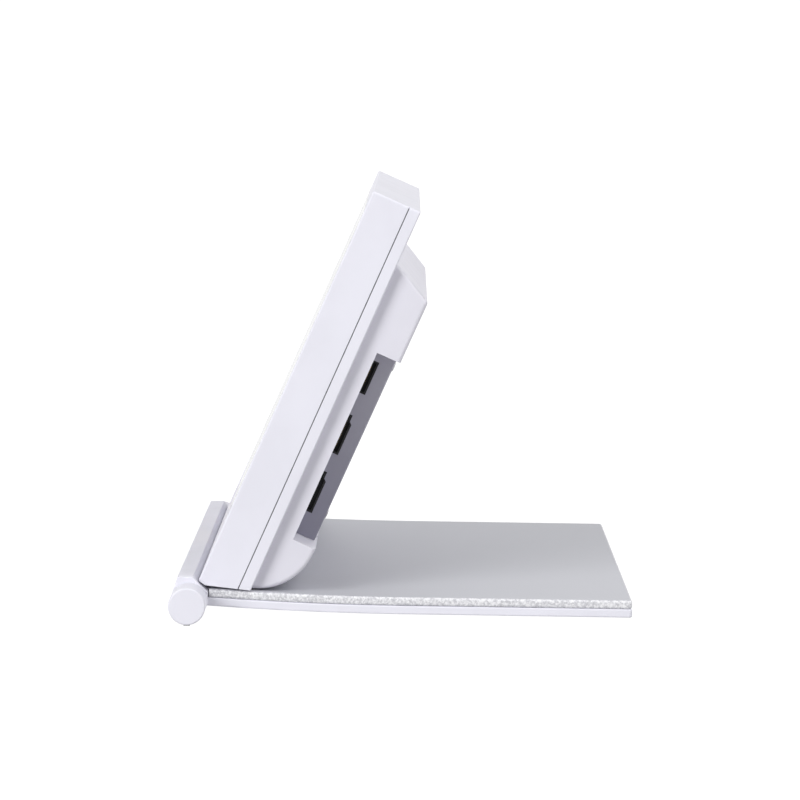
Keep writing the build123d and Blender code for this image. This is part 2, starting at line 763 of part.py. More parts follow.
def build_key(index):
    """One key: a round cap with a dished face, a retaining flange and a stem."""
    x = key_x(index)
    rim_v = face_v + key_sunk
    key = rod_v(key_radius, x, -key_drop, rim_v, inner_face_v)
    key = fillet(key.edges().sort_by(Axis.Y)[0], key_round)
    ball = (key_dish_radius ** 2 + key_dish ** 2) / (2 * key_dish)
    key -= Pos(x, rim_v + key_dish - ball, -key_drop) * Sphere(ball)
    flange_v = inner_face_v + key_flange_thickness
    key += rod_v(key_radius + key_flange, x, -key_drop, inner_face_v, flange_v)
    return key + rod_v(stem_radius, x, -key_drop, flange_v, stem_top_v)


# ---- Hinge pieces that ride with the head ----


def build_yoke():
    """Right-hand yoke: two cheeks beside the bracket's eye, joined by a web on the frame."""
    gap = cheek_x - hinge_x
    yoke = block(
        hinge_x - gap, hinge_x + gap, frame_back_v, frame_back_v + yoke_web, yoke_web_foot, yoke_reach
    )
    for x0 in (hinge_x - gap - cheek_thickness, hinge_x + gap):
        x1 = x0 + cheek_thickness
        cheek = block(x0, x1, frame_back_v, cheek_radius, 0, yoke_reach)
        cheek += block(x0, x1, frame_back_v, 0, -cheek_radius, 0)
        yoke += cheek + rod_x(cheek_radius, x0, x1)
    return yoke - rod_x(pin_radius + seat_gap, 0, head_half)


def build_hinge_pin():
    """Right-hand hinge pin with its head on the inner side."""
    half = cheek_x - hinge_x + cheek_thickness
    pin = rod_x(pin_radius, hinge_x - half, hinge_x + half + pin_tail)
    return pin + rod_x(pin_head_radius, hinge_x - half - pin_head, hinge_x - half)


def build_washers():
    """Friction washers on both sides of both bracket eyes."""
    washers = []
    for side in (-1, 1):
        for x0 in (hinge_x - bracket_thickness / 2 - washer_thickness, hinge_x + bracket_thickness / 2):
            ring = rod_x(washer_radius, x0, x0 + washer_thickness)
            ring -= rod_x(pin_radius + seat_gap, 0, head_half)
            washers.append(mirror_to(side, ring))
    return washers


def build_clips():
    """Clips on the outer ends of the hinge pins."""
    clips = []
    x0 = cheek_x + cheek_thickness
    x1 = x0 + washer_thickness
    for side in (-1, 1):
        clip = rod_x(pin_head_radius, x0, x1) - rod_x(pin_radius + seat_gap, 0, head_half)
        clip -= block(x0 - past, x1 + past, -clip_mouth_half, clip_mouth_half, -2 * pin_radius, 0)
        clips.append(mirror_to(side, clip))
    return clips


# ---- Housing ----


def housing_outline():
    """Side outline of the housing: slanted top, straight back and round lobe."""
    touch = (lobe_radius * math.cos(tangent_angle), lobe_radius * math.sin(tangent_angle))
    start = math.degrees(tangent_angle)
    end = -math.degrees(math.acos(back_v / lobe_radius))
    lobe = CenterArc((0, 0), lobe_radius, start, end - start)
    brow = (brow_depth, housing_brow)
    crest = (back_v, housing_rise)
    return make_face([Line(crest, brow), Line(brow, touch), lobe, Line(lobe @ 1, crest)])


def build_housing(sweeps):
    """Housing moulding, and the cover of the lobe that its two bracket slots part from it."""
    outline = housing_outline()
    shell = extrude(Plane.YZ.offset(-housing_half) * outline, 2 * housing_half)
    shell = fillet(shell.edges().filter_by(lambda e: e.center().Y > back_v + 0.1), housing_round)
    inner = offset(outline, -housing_wall, kind=Kind.INTERSECTION)
    inner += Pos(-housing_wall, 0) * inner
    inner_end = housing_half - housing_wall
    shell -= extrude(Plane.YZ.offset(-inner_end) * inner, 2 * inner_end)
    wall_end = inner_end + root
    wall_back = lobe_radius - housing_wall + root
    for u in (bay_foot - bay_wall, bay_top):
        shell += block(-wall_end, wall_end, back_v, wall_back, u, u + bay_wall)
    boss_end = back_line(boss_u) - housing_wall + root
    for side in (-1, 1):
        floor_x = cover_half + inlay_gap
        floor_v = bay_floor - bay_floor_wall
        floor = block(floor_x, wall_end, floor_v, bay_floor, bay_foot - past, bay_top + past)
        shell += mirror_to(side, floor)
        for x in boss_xs:
            boss = rod_v(post_radius, side * x, boss_u, back_v, boss_end)
            shell += boss - hole_v(side * x, boss_u, back_v - past, back_v + boss_pilot)
        mouth = block(inner_end - past, head_half, bay_mouth, 2 * lobe_radius, bay_foot, bay_top)
        shell -= mirror_to(side, mouth)
    shell -= block(-inner_end, inner_end, bay_floor, 2 * lobe_radius, bay_foot, bay_top)
    for sweep in sweeps:
        shell -= sweep
    lobe_cover, housing = shell.solids().sort_by(SortBy.VOLUME)[-2:]
    return housing, lobe_cover


def skin(x0, x1, u0, u1, depth0, depth1):
    """Slab that follows the housing's back between two depths below it."""
    outline = []
    for u, depth in ((u0, depth0), (u1, depth0), (u1, depth1), (u0, depth1)):
        outline.append((back_line(u) - depth, u))
    return prism(outline, x0, x1)


def socket_outline(low, length, step, inset):
    """Mouth of a socket, seen along x: a rectangle whose upper back corner may be stepped."""
    front = socket_back - socket_height + inset
    back = socket_back - inset
    high = low + length - inset
    points = [(front, low + inset), (back, low + inset)]
    if step:
        shoulder = high - socket_step_length + inset
        points += [(back, shoulder - step), (back - step, shoulder), (back - step, high)]
    else:
        points.append((back, high))
    return points + [(front, high)]


def build_cover(sweeps):
    """Dark cover of the equipment bay, with the socket mouths in its right-hand end."""
    low = bay_foot + inlay_gap
    high = bay_top - inlay_gap
    front = back_v + cover_rise
    outer = [
        (front, low),
        (back_line(low) - cover_set, low),
        (back_line(high) - cover_set, high),
        (front, high),
    ]
    cover = prism(outer, -cover_half, cover_half)
    rim = cover.edges().filter_by(lambda e: e.center().Y > back_line(0) - cover_set - 1)
    cover = fillet(rim, cover_round)
    deep = cover_set + cover_wall
    inner = [
        (front - past, low + cover_wall),
        (back_line(low) - deep, low + cover_wall),
        (back_line(high) - deep, high - cover_wall),
        (front - past, high - cover_wall),
    ]
    cover -= prism(inner, cover_wall - cover_half, cover_half - cover_wall)
    for low_u, length, step in sockets.values():
        mouth = socket_outline(low_u, length, step, 0)
        cover -= prism(mouth, cover_half - 2 * cover_wall, cover_half + past)
    vent_top = bay_top - vent_drop
    half = vent_width / 2
    for index in range(vent_count):
        x = (index - (vent_count - 1) / 2) * vent_pitch
        cover -= block(x - half, x + half, bay_mouth, 2 * lobe_radius, vent_top - vent_length, vent_top)
    for x, u in cover_screw_spots:
        cover -= hole_v(x, u, bay_mouth, 2 * lobe_radius)
    for sweep in sweeps:
        cover -= sweep
    return cover


def build_cover_screws():
    """Cover screws and the pillars on the rear shell that they turn into."""
    screws = []
    pillars = []
    for x, u in cover_screw_spots:
        seat = back_line(u) - cover_set
        inside = seat - cover_wall
        pillar = rod_v(post_radius, x, u, back_v - past, inside - inlay_gap)
        pillars.append(pillar - hole_v(x, u, inside - cover_pilot, inside + past))
        screws.append(screw_v(x, u, inside - cover_bite, seat + seat_gap))
    return pillars, screws


def build_socket(name):
    """Socket body with a well and the tongue or pin that a plug meets."""
    low, length, step = sockets[name]
    face_x = cover_half - socket_set
    inner_x = cover_half - cover_wall - socket_depth
    well_x = face_x - socket_well
    body = prism(socket_outline(low, length, step, seat_gap), inner_x, face_x)
    body -= prism(socket_outline(low, length, step, socket_lip), well_x, face_x + past)
    mid_v = socket_back - socket_height / 2
    mid_u = low + length / 2
    if name == "power_socket":
        return body + rod_x(contact_pin_radius, well_x - past, face_x - contact_pin_set, mid_v, mid_u)
    half = length / 2 - tongue_short
    v0 = mid_v - tongue_half
    v1 = mid_v + tongue_half
    return body + block(well_x - past, face_x - tongue_set, v0, v1, mid_u - half, mid_u + half)


def build_camera():
    """Lens barrel, camera board and the wedge that holds them to the casing."""
    camera_v = back_v + camera_rise
    place = Pos(0, camera_v, housing_brow - camera_drop) * Rot(-90 - camera_turn, 0, 0)
    barrel = place * Cylinder(lens_radius, lens_length)
    barrel -= place * Pos(0, 0, lens_length / 2) * Cylinder(lens_radius - lens_wall, lens_recess)
    half_x, half_y = camera_board_half
    board_low = -lens_length / 2 - board_thickness
    board = place * block(-half_x, half_x, -half_y, half_y, board_low, -lens_length / 2)
    wedge_low = board_low - camera_wedge_length
    wedge = place * block(-camera_wedge_half, camera_wedge_half, -half_y, half_y, wedge_low, board_low)
    room_low = bay_top + bay_wall + past
    room = block(-window_half, window_half, back_v, camera_v + past, room_low, housing_brow - past)
    return barrel, board, wedge & room


def cut_windows(shell):
    """Openings and rebates of the camera window and the two lamp windows."""
    openings = [(-window_half, window_half, bay_top + window_foot, housing_brow - window_drop)]
    for side in (-1, 1):
        ends = sorted((side * lamp_x0, side * lamp_x1))
        openings.append((ends[0], ends[1], bay_top + lamp_foot, housing_brow - lamp_drop))
    panes = []
    grow = window_lap + inlay_gap
    lap = window_lap
    outside = -2 * past
    for x0, x1, u0, u1 in openings:
        shell -= skin(x0, x1, u0, u1, outside, housing_wall + 2 * past)
        shell -= skin(x0 - grow, x1 + grow, u0 - grow, u1 + grow, outside, window_thickness)
        panes.append(skin(x0 - lap, x1 + lap, u0 - lap, u1 + lap, window_set, window_thickness))
    return shell, panes


def build_lamp(side):
    """Lamp board with its row of LEDs, behind one lamp window, and its two pegs."""
    back = housing_wall + lamp_rise
    low = bay_top + lamp_foot
    high = housing_brow - lamp_drop
    mid = (low + high) / 2
    lamp = skin(lamp_x0, lamp_x1, low, high, back, back + board_thickness)
    pitch = (lamp_x1 - lamp_x0) / lamp_count
    for index in range(lamp_count):
        x = lamp_x0 + (index + 0.5) * pitch
        led = (x - led_half, x + led_half, mid - led_half, mid + led_half)
        lamp += skin(*led, back - led_proud, back + root)
    for x in (lamp_x0 + lamp_peg_inset, lamp_x1 - lamp_peg_inset):
        lamp += rod_v(lamp_peg_radius, x, mid, back_v, back_line(mid) - back - root)
    return mirror_to(side, lamp)


def build_battery():
    """Battery pack between its ribs on the rear shell."""
    top = battery_foot + battery_rise
    battery = block(-battery_half, battery_half, back_v, back_v + battery_depth, battery_foot, top)
    return fillet(battery.edges().filter_by(Axis.X), battery_round)


def build_socket_board():
    """Board that carries the three sockets."""
    end_x = cover_half - cover_wall - socket_board_set
    low = bay_foot + socket_board_margins[0]
    high = bay_top - socket_board_margins[1]
    return block(socket_board_x, end_x, socket_board_v, socket_board_v + board_thickness, low, high)


def build_speaker():
    """Right-hand speaker, behind its slots."""
    x0 = speaker_x - speaker_half
    x1 = speaker_x + speaker_half
    top = speaker_foot + speaker_rise
    return block(x0, x1, inner_face_v, inner_face_v + speaker_depth, speaker_foot, top)


def build_inner_screws(board_spots):
    """Screws that join the casing's halves, and those of the display frame and the boards."""
    casing_screws = []
    board_screws = []
    for side in (-1, 1):
        for u in casing_screw_us:
            tip = parting_v - casing_pilot + tip_gap
            casing_screws.append(screw_v(side * casing_screw_x, u, tip, back_v - screw_head))
        for u in frame_post_us:
            tip = inner_face_v + pilot_floor + tip_gap
            board_screws.append(screw_v(side * frame_post_x, u, tip, frame_back_v))
        tip = key_board_v - key_board_pilot + tip_gap
        board_screws.append(screw_v(side * key_post_x, -key_drop, tip, key_board_v + board_thickness))
    for x, u in board_spots:
        seat = frame_back_v + standoff + board_thickness
        board_screws.append(screw_v(x, u, frame_back_v + tip_gap, seat))
    return casing_screws, board_screws


# ---- Build every piece ----

base_plate, reading_plate = build_base()
base_plate, reading_plate, plate_screws = base_screws(base_plate, reading_plate)
base_plate, brackets, bracket_screws = hinge_brackets(base_plate)
front_bar, bar_caps, foot_strip = build_bar(base_plate)
base_plate, feet = rear_feet(base_plate)
pieces = {
    "base_plate": base_plate,
    "reading_plate": reading_plate,
    "plate_screws": Compound(plate_screws),
    "bracket_screws": Compound(bracket_screws),
    "front_bar": front_bar,
    "bar_foot_strip": foot_strip,
    "rear_feet": Compound(feet),
}
for name, _ in sides():
    pieces["bar_cap_" + name] = bar_caps[name]
    pieces["hinge_bracket_" + name] = brackets[name]

right_sweep = hinge_sweep()
bracket_sweeps = [mirror_to(side, right_sweep) for _, side in sides()]
casing = casing_solid()
glass, display, backlight, display_frame = build_screen()
display_frame, board, board_spots = build_main_board(display_frame)
pillars, cover_screws = build_cover_screws()
rear_shell = build_rear_shell(casing, bracket_sweeps)
for pillar in pillars:
    rear_shell += pillar
housing, lobe_cover = build_housing(bracket_sweeps)
housing, panes = cut_windows(housing)
barrel, camera_board, camera_wedge = build_camera()
casing_screws, board_screws = build_inner_screws(board_spots)

head_pieces = {
    "front_bezel": build_bezel(casing, bracket_sweeps),
    "rear_shell": rear_shell,
    "screen_glass": glass,
    "display_panel": display,
    "backlight": backlight,
    "display_frame": display_frame,
    "main_board": board,
    "key_board": build_key_board(),
    "camera_housing": housing,
    "lobe_cover": lobe_cover,
    "bay_cover": build_cover(bracket_sweeps),
    "cover_screws": Compound(cover_screws),
    "camera_window": panes[0],
    "lamp_window_left": panes[1],
    "lamp_window_right": panes[2],
    "lens_barrel": barrel,
    "camera_board": camera_board,
    "camera_wedge": camera_wedge,
    "friction_washers": Compound(build_washers()),
    "pin_clips": Compound(build_clips()),
    "battery_pack": build_battery(),
    "socket_board": build_socket_board(),
    "casing_screws": Compound(casing_screws),
    "board_screws": Compound(board_screws),
}
for name in sockets:
    head_pieces[name] = build_socket(name)
for index, name in enumerate(key_names):
    head_pieces[name] = build_key(index)
for name, side in sides():
    head_pieces["speaker_" + name] = mirror_to(side, build_speaker())
    head_pieces["hinge_yoke_" + name] = mirror_to(side, build_yoke())
    head_pieces["hinge_pin_" + name] = mirror_to(side, build_hinge_pin())
    head_pieces["lamp_board_" + name] = build_lamp(side)

for name, shape in head_pieces.items():
    pieces[name] = head_place * shape

os.makedirs("parts", exist_ok=True)
for name, shape in pieces.items():
    export_step(shape, "parts/" + name + ".step")

print("pivot y, z:", round(pivot_y, 3), round(pivot_z, 3))
print("bar y, z:", round(bar_y, 3), round(bar_z, 3), "plate rear:", round(plate_rear, 3))
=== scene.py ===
import math

import bmesh
import bpy
from mathutils import Matrix, Vector


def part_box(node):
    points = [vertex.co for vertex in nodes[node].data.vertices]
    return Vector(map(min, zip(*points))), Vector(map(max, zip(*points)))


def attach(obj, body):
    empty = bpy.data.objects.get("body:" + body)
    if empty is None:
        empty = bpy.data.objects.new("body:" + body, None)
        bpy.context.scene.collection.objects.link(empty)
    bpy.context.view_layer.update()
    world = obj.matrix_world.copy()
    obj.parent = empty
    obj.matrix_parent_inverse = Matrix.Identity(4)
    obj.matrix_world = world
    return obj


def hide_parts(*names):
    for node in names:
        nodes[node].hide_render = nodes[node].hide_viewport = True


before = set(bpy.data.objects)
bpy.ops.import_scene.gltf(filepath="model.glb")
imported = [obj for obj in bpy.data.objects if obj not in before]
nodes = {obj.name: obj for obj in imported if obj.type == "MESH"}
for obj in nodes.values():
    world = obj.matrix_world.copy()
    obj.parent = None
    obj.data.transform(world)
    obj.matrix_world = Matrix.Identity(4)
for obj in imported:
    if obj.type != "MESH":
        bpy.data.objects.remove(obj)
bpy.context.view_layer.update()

# ---- Base plate ----
# The tray that stands on the table: off-white ABS, injection-moulded, with a fine spark-eroded grain
# on every outer face. Its front edge is pushed into the slot of the front bar.


def new_finish(name, colour, roughness, **plain):
    """A material with a principled shader, and its plain socket values set."""
    finish = bpy.data.materials.new(name)
    finish.use_nodes = True
    shader = finish.node_tree.nodes["Principled BSDF"]
    shader.inputs["Base Color"].default_value = (*colour, 1.0)
    shader.inputs["Roughness"].default_value = roughness
    for socket, value in plain.items():
        shader.inputs[socket.replace("_", " ").title().replace("Ior", "IOR")].default_value = value
    return finish, finish.node_tree, shader


def add(tree, kind, **values):
    """A node of that kind with its properties set, and its inputs where the name matches one."""
    node = tree.nodes.new(kind)
    for key, value in values.items():
        socket = node.inputs.get(key.replace("_", " ").title())
        if socket is not None:
            socket.default_value = value
        else:
            setattr(node, key, value)
    return node


def own_place(tree):
    """The coordinates fixed to the piece, in metres."""
    found = tree.nodes.get("own place")
    if found is None:
        found = add(tree, "ShaderNodeTexCoord")
        found.name = "own place"
    return found.outputs["Object"]


def noise(tree, size, detail=2.0, roughness=0.5):
    """Noise whose features are about that size, in metres."""
    made = add(tree, "ShaderNodeTexNoise", scale=1.0 / size, detail=detail, roughness=roughness)
    tree.links.new(own_place(tree), made.inputs["Vector"])
    return made.outputs["Fac"]


def span(tree, value, low_in, high_in, low_out, high_out):
    """The value's range turned into another range."""
    made = add(tree, "ShaderNodeMapRange", from_min=low_in, from_max=high_in,
               to_min=low_out, to_max=high_out)
    tree.links.new(value, made.inputs["Value"])
    return made.outputs["Result"]


def mix_colours(tree, factor, first, second):
    """Colour between two, by the factor. Each is a colour or another node's output."""
    made = add(tree, "ShaderNodeMix", data_type="RGBA")
    tree.links.new(factor, made.inputs[0])
    for socket, colour in ((made.inputs[6], first), (made.inputs[7], second)):
        if isinstance(colour, tuple):
            socket.default_value = (*colour, 1.0)
        else:
            tree.links.new(colour, socket)
    return made.outputs[2]


def bump(tree, shader, heights):
    """Surface relief: each height is a value and its depth in metres."""
    normal = None
    for value, depth in heights:
        made = add(tree, "ShaderNodeBump", strength=1.0, distance=depth)
        tree.links.new(value, made.inputs["Height"])
        if normal is not None:
            tree.links.new(normal, made.inputs["Normal"])
        normal = made.outputs["Normal"]
    tree.links.new(normal, shader.inputs["Normal"])


def moulded(name, colour, roughness, grain=0.0004, depth=0.00001, **plain):
    """Moulded plastic: spark-eroded grain, faint flow mottling and a slightly uneven sheen."""
    finish, tree, shader = new_finish(name, colour, roughness, **plain)
    paler = tuple(min(1.0, c * 1.02) for c in colour)
    darker = tuple(c * 0.98 for c in colour)
    flow = span(tree, noise(tree, 0.03, 3.0), 0.35, 0.65, 0.0, 1.0)
    tree.links.new(mix_colours(tree, flow, darker, paler), shader.inputs["Base Color"])
    sheen = span(tree, noise(tree, grain * 6), 0.3, 0.7, roughness * 0.93, roughness * 1.07)
    tree.links.new(sheen, shader.inputs["Roughness"])
    bump(tree, shader, [(noise(tree, grain, 3.0, 0.6), depth), (noise(tree, grain * 12), depth)])
    return finish


def coat(material, *names):
    """Give CAD nodes their material."""
    for name in names:
        slots = nodes[name].data.materials
        slots.clear()
        slots.append(material)


white_plastic = moulded("white_plastic", (0.79, 0.785, 0.86), 0.45)
coat(white_plastic, "base_plate")

# ---- Rubber feet ----
# Four round feet in sinks under the tray and a strip let into the front bar, all of soft black
# rubber with a dull, slightly dusty skin. They are pushed in and glued.

rubber, tree, shader = new_finish("black_rubber", (0.02, 0.02, 0.021), 0.8)
dust = span(tree, noise(tree, 0.004, 5.0, 0.6), 0.5, 0.75, 0.0, 1.0)
dusty = mix_colours(tree, dust, (0.018, 0.018, 0.019), (0.05, 0.05, 0.052))
tree.links.new(dusty, shader.inputs["Base Color"])
bump(tree, shader, [(noise(tree, 0.0003, 2.0), 0.00002), (noise(tree, 0.006), 0.00003)])
coat(rubber, "bar_foot_strip", "rear_feet")

# ---- Reading plate ----
# Aluminium plate screwed on the tray, bead-blasted and anodised silver. Its upright rim is painted
# lighter, with sparkling painted glints, for the highlights that catch along its edge.


def facing_up(tree):
    """How far the surface faces up or down: 1 on the flat, 0 on an upright side."""
    shape = add(tree, "ShaderNodeNewGeometry")
    split = add(tree, "ShaderNodeSeparateXYZ")
    tree.links.new(shape.outputs["Normal"], split.inputs["Vector"])
    size = add(tree, "ShaderNodeMath", operation="ABSOLUTE")
    tree.links.new(split.outputs["Z"], size.inputs[0])
    return size.outputs[0]


plate_finish, tree, shader = new_finish("satin_aluminium", (0.5, 0.5, 0.52), 0.5, metallic=0.35,
                                        specular_tint=(0.6, 0.6, 0.62, 1.0))
# Painted highlight: the upright sides get a lighter colour with bright glints mixed in.
rim = span(tree, facing_up(tree), 0.8, 0.97, 1.0, 0.0)
blast = noise(tree, 0.0007, 3.0, 0.65)
blast_tone = span(tree, blast, 0.35, 0.65, 0.0, 1.0)
flat_grey = mix_colours(tree, blast_tone, (0.54, 0.545, 0.58), (0.58, 0.585, 0.62))
painted_glints = span(tree, noise(tree, 0.0014, 4.0, 0.7), 0.4, 0.6, 0.0, 1.0)
rim_painted_highlight = mix_colours(tree, painted_glints, (0.5, 0.5, 0.53), (0.78, 0.78, 0.8))
tree.links.new(mix_colours(tree, rim, flat_grey, rim_painted_highlight), shader.inputs["Base Color"])
tree.links.new(span(tree, blast, 0.3, 0.7, 0.45, 0.55), shader.inputs["Roughness"])
bump(tree, shader, [(blast, 0.00001)])
coat(plate_finish, "reading_plate")

# ---- Front bar ----
# White moulded bar along the front edge, with a flat crest; the round end caps are separate
# mouldings, plugged into its bore.

coat(white_plastic, "front_bar", "bar_cap_left", "bar_cap_right")

# ---- Hinge ----
# Zinc-plated steel brackets stand on the tray; their eyes turn on steel pins between the cheeks of
# die-cast yokes, with brass friction washers on both sides and spring clips on the pins.


def metal(name, colour, roughness, grain, stretch=(1.0, 1.0, 1.0)):
    """Bare or plated metal with fine marks, drawn out along one way where it was brushed."""
    finish, tree, shader = new_finish(name, colour, roughness, metallic=1.0)
    turned = add(tree, "ShaderNodeMapping")
    turned.inputs["Scale"].default_value = stretch
    tree.links.new(own_place(tree), turned.inputs["Vector"])
    marks = add(tree, "ShaderNodeTexNoise", scale=1.0 / grain, detail=4.0, roughness=0.6)
    tree.links.new(turned.outputs["Vector"], marks.inputs["Vector"])
    stain = span(tree, noise(tree, 0.012, 4.0), 0.35, 0.7, 0.0, 1.0)
    duller = tuple(c * 0.8 for c in colour)
    tree.links.new(mix_colours(tree, stain, colour, duller), shader.inputs["Base Color"])
    rough = span(tree, marks.outputs["Fac"], 0.3, 0.7, roughness * 0.75, roughness * 1.3)
    tree.links.new(rough, shader.inputs["Roughness"])
    bump(tree, shader, [(marks.outputs["Fac"], 0.000006)])
    return finish


steel = metal("hinge_steel", (0.55, 0.55, 0.57), 0.34, 0.0008, (1.0, 0.1, 1.0))
cast_metal = metal("cast_alloy", (0.5, 0.5, 0.51), 0.5, 0.0012)
brass = metal("washer_brass", (0.6, 0.42, 0.16), 0.3, 0.0006)
coat(steel, "hinge_bracket_left", "hinge_bracket_right", "hinge_pin_left", "hinge_pin_right", "pin_clips")
coat(cast_metal, "hinge_yoke_left", "hinge_yoke_right")
coat(brass, "friction_washers")

# ---- Screws ----
# Plated pan-head screws with a cross recess and a rolled thread: under the tray, in the casing's
# back, in the bay cover, and inside on the display frame and the main board. Each is turned in from
# behind or from below.

head_lean = math.radians(24.1)
tray_slope = math.radians(3.2384)
thread_root = 1.22          # the screws' own sizes are in millimetres
thread_crest = 1.47
thread_pitch = 0.5
thread_land = 0.06          # width of the thread's crest
thread_flank = 0.2          # height of each flank
shank_radius = 1.45
shank_end = 2.0             # plain shank below the head's top
tip_radius = 0.7
tip_length = 0.6
pan_height = 1.5
pan_crown = 0.62            # rounded part of the head
recess_size = (3.0, 0.55, 2.0)
recess_taper = (0.4, 0.7, 1.0)
pin_low, pin_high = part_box("hinge_pin_right")
pivot = Vector((0.0, (pin_low[1] + pin_high[1]) / 2, (pin_low[2] + pin_high[2]) / 2))
head_place = Matrix.Translation(pivot) @ Matrix.Rotation(-head_lean, 4, "X")
head_back = (head_place.to_3x3() @ Vector((0, 1, 0))).normalized()


def solids_of(node):
    """Points of each separate solid in a CAD node, in the order of its mesh."""
    made = bmesh.new()
    made.from_mesh(nodes[node].data)
    bmesh.ops.remove_doubles(made, verts=made.verts, dist=0.000002)
    met = set()
    solids = []
    for first in made.verts:
        if first in met:
            continue
        met.add(first)
        reached = [first]
        solid = [first]
        while reached:
            for edge in reached.pop().link_edges:
                for vert in edge.verts:
                    if vert not in met:
                        met.add(vert)
                        reached.append(vert)
                        solid.append(vert)
        solids.append([vert.co.copy() for vert in solid])
    made.free()
    return solids


def placed(made, name):
    """An object of that bmesh, in the scene."""
    mesh = bpy.data.meshes.new(name)
    made.to_mesh(mesh)
    made.free()
    piece = bpy.data.objects.new(name, mesh)
    bpy.context.scene.collection.objects.link(piece)
    return piece


def finished(name, made, material, body, slot, *stands_for, sharp=35.0):
    """The piece of that mesh, riding on its body."""
    piece = placed(made, name)
    piece.data.materials.append(material)
    for face in piece.data.polygons:
        face.use_smooth = True
    piece.data.set_sharp_from_angle(angle=math.radians(sharp))
    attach(piece, body)
    if stands_for:
        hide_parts(*stands_for)
    return piece


def turned_from(profile, steps):
    """A round shape spun about z from (radius, height) points."""
    made = bmesh.new()
    points = [made.verts.new((radius, 0, height)) for radius, height in profile]
    lines = [made.edges.new(pair) for pair in zip(points, points[1:])]
    bmesh.ops.spin(made, geom=points + lines, cent=(0, 0, 0), axis=(0, 0, 1), angle=math.tau,
                   steps=steps, use_merge=True)
    bmesh.ops.remove_doubles(made, verts=made.verts, dist=0.0005)
    bmesh.ops.recalc_face_normals(made, faces=made.faces)
    return made


def screw_shape(length, head_radius):
    """Mesh of one screw in millimetres, its head's top at the origin and its tip down."""
    thread = []
    height = -length + tip_length + 0.1
    while height < -shank_end:
        land = height + thread_flank
        thread += [(thread_root, height), (thread_crest, land), (thread_crest, land + thread_land),
                   (thread_root, land + thread_land + thread_flank)]
        height += thread_pitch
    crown = [(head_radius * math.cos(a), pan_crown * (math.sin(a) - 1)) for a in
             (math.radians(d) for d in range(0, 90, 15))]
    profile = [(0, -length), (tip_radius, -length), (thread_root, -length + tip_length)] + thread
    profile += [(shank_radius, -pan_height - 0.05), (shank_radius, -pan_height)]
    profile += [(head_radius, -pan_height), *crown, (0, 0)]
    blank = placed(turned_from(profile, 28), "screw")
    cutters = []
    for turn in (0.0, math.pi / 2):
        recess = bmesh.new()
        bmesh.ops.create_cube(recess, size=1.0)
        bmesh.ops.scale(recess, verts=recess.verts, vec=recess_size)
        low = [v for v in recess.verts if v.co.z < 0]
        bmesh.ops.scale(recess, verts=low, vec=recess_taper)
        bmesh.ops.rotate(recess, verts=recess.verts, matrix=Matrix.Rotation(turn + 0.4, 3, "Z"))
        cutter = placed(recess, "recess")
        cut = blank.modifiers.new("recess", "BOOLEAN")
        cut.operation = "DIFFERENCE"
        cut.solver = "EXACT"
        cut.object = cutter
        cutters.append(cutter)
    bpy.context.view_layer.update()
    cut_blank = blank.evaluated_get(bpy.context.evaluated_depsgraph_get())
    cut_mesh = bpy.data.meshes.new_from_object(cut_blank)
    for spare in [blank] + cutters:
        bpy.data.objects.remove(spare)
    return cut_mesh


def put_screws(node, outwards, body):
    """Detailed screws in the places of a CAD node's."""
    group = bmesh.new()
    for index, points in enumerate(solids_of(node)):
        along = [p.dot(outwards) for p in points]
        top = max(along)
        ring = [p for p, t in zip(points, along) if t > top - 0.00001]
        centre = sum(ring, Vector()) / len(ring)
        head_radius = max((p - centre - outwards * (p - centre).dot(outwards)).length for p in points)
        shape = screw_shape((top - min(along)) * 1000, head_radius * 1000)
        turn = Matrix.Rotation(0.7 * index, 4, "Z")
        stand = outwards.to_track_quat("Z", "Y").to_matrix().to_4x4()
        shape.transform(Matrix.Translation(centre) @ stand @ turn @ Matrix.Scale(0.001, 4))
        group.from_mesh(shape)
        bpy.data.meshes.remove(shape)
    name = node.replace("_screws", "_cross_screws")
    finished(name, group, screw_steel, body, "screw_steel", node, sharp=30.0)


screw_steel = metal("screw_steel", (0.45, 0.45, 0.47), 0.3, 0.0005)
put_screws("plate_screws", Vector((0, 0, -1)), "base")
put_screws("bracket_screws", Vector((0, -math.sin(tray_slope), -math.cos(tray_slope))), "base")
put_screws("casing_screws", head_back, "head")
put_screws("cover_screws", head_back, "head")
put_screws("board_screws", head_back, "head")

# ---- Casing and housing ----
# Two deep off-white ABS shells meet at a shadow groove, and the housing across the back carries
# the round lobe. All are moulded with the same fine spark-eroded grain as the tray; the housing and
# the lobe's cover are painted darker than the shells, for the shade on their sides.

parting_v = 0.0029          # parting line behind the hinge axis
groove_reach = 0.00028      # painted shade's reach, to each side of the line
painted_groove_shade = (0.16, 0.16, 0.18)
shell_half = 0.1697         # the painted shade stops inside the casing's sides
shell_reach = 0.1822        # and below its top


def head_position(tree):
    """Coordinates along and up the head, from the hinge axis, in metres."""
    shift = add(tree, "ShaderNodeMapping", vector_type="POINT")
    shift.inputs["Location"].default_value = -pivot
    tree.links.new(own_place(tree), shift.inputs["Vector"])
    turn = add(tree, "ShaderNodeMapping", vector_type="POINT")
    turn.inputs["Rotation"].default_value = (head_lean, 0.0, 0.0)
    tree.links.new(shift.outputs["Vector"], turn.inputs["Vector"])
    split = add(tree, "ShaderNodeSeparateXYZ")
    tree.links.new(turn.outputs["Vector"], split.inputs["Vector"])
    return split.outputs


def sums(tree, operation, first, second):
    """Arithmetic on outputs and numbers."""
    made = add(tree, "ShaderNodeMath", operation=operation)
    for socket, value in zip(made.inputs, (first, second)):
        if isinstance(value, (int, float)):
            socket.default_value = value
        else:
            tree.links.new(value, socket)
    return made.outputs[0]


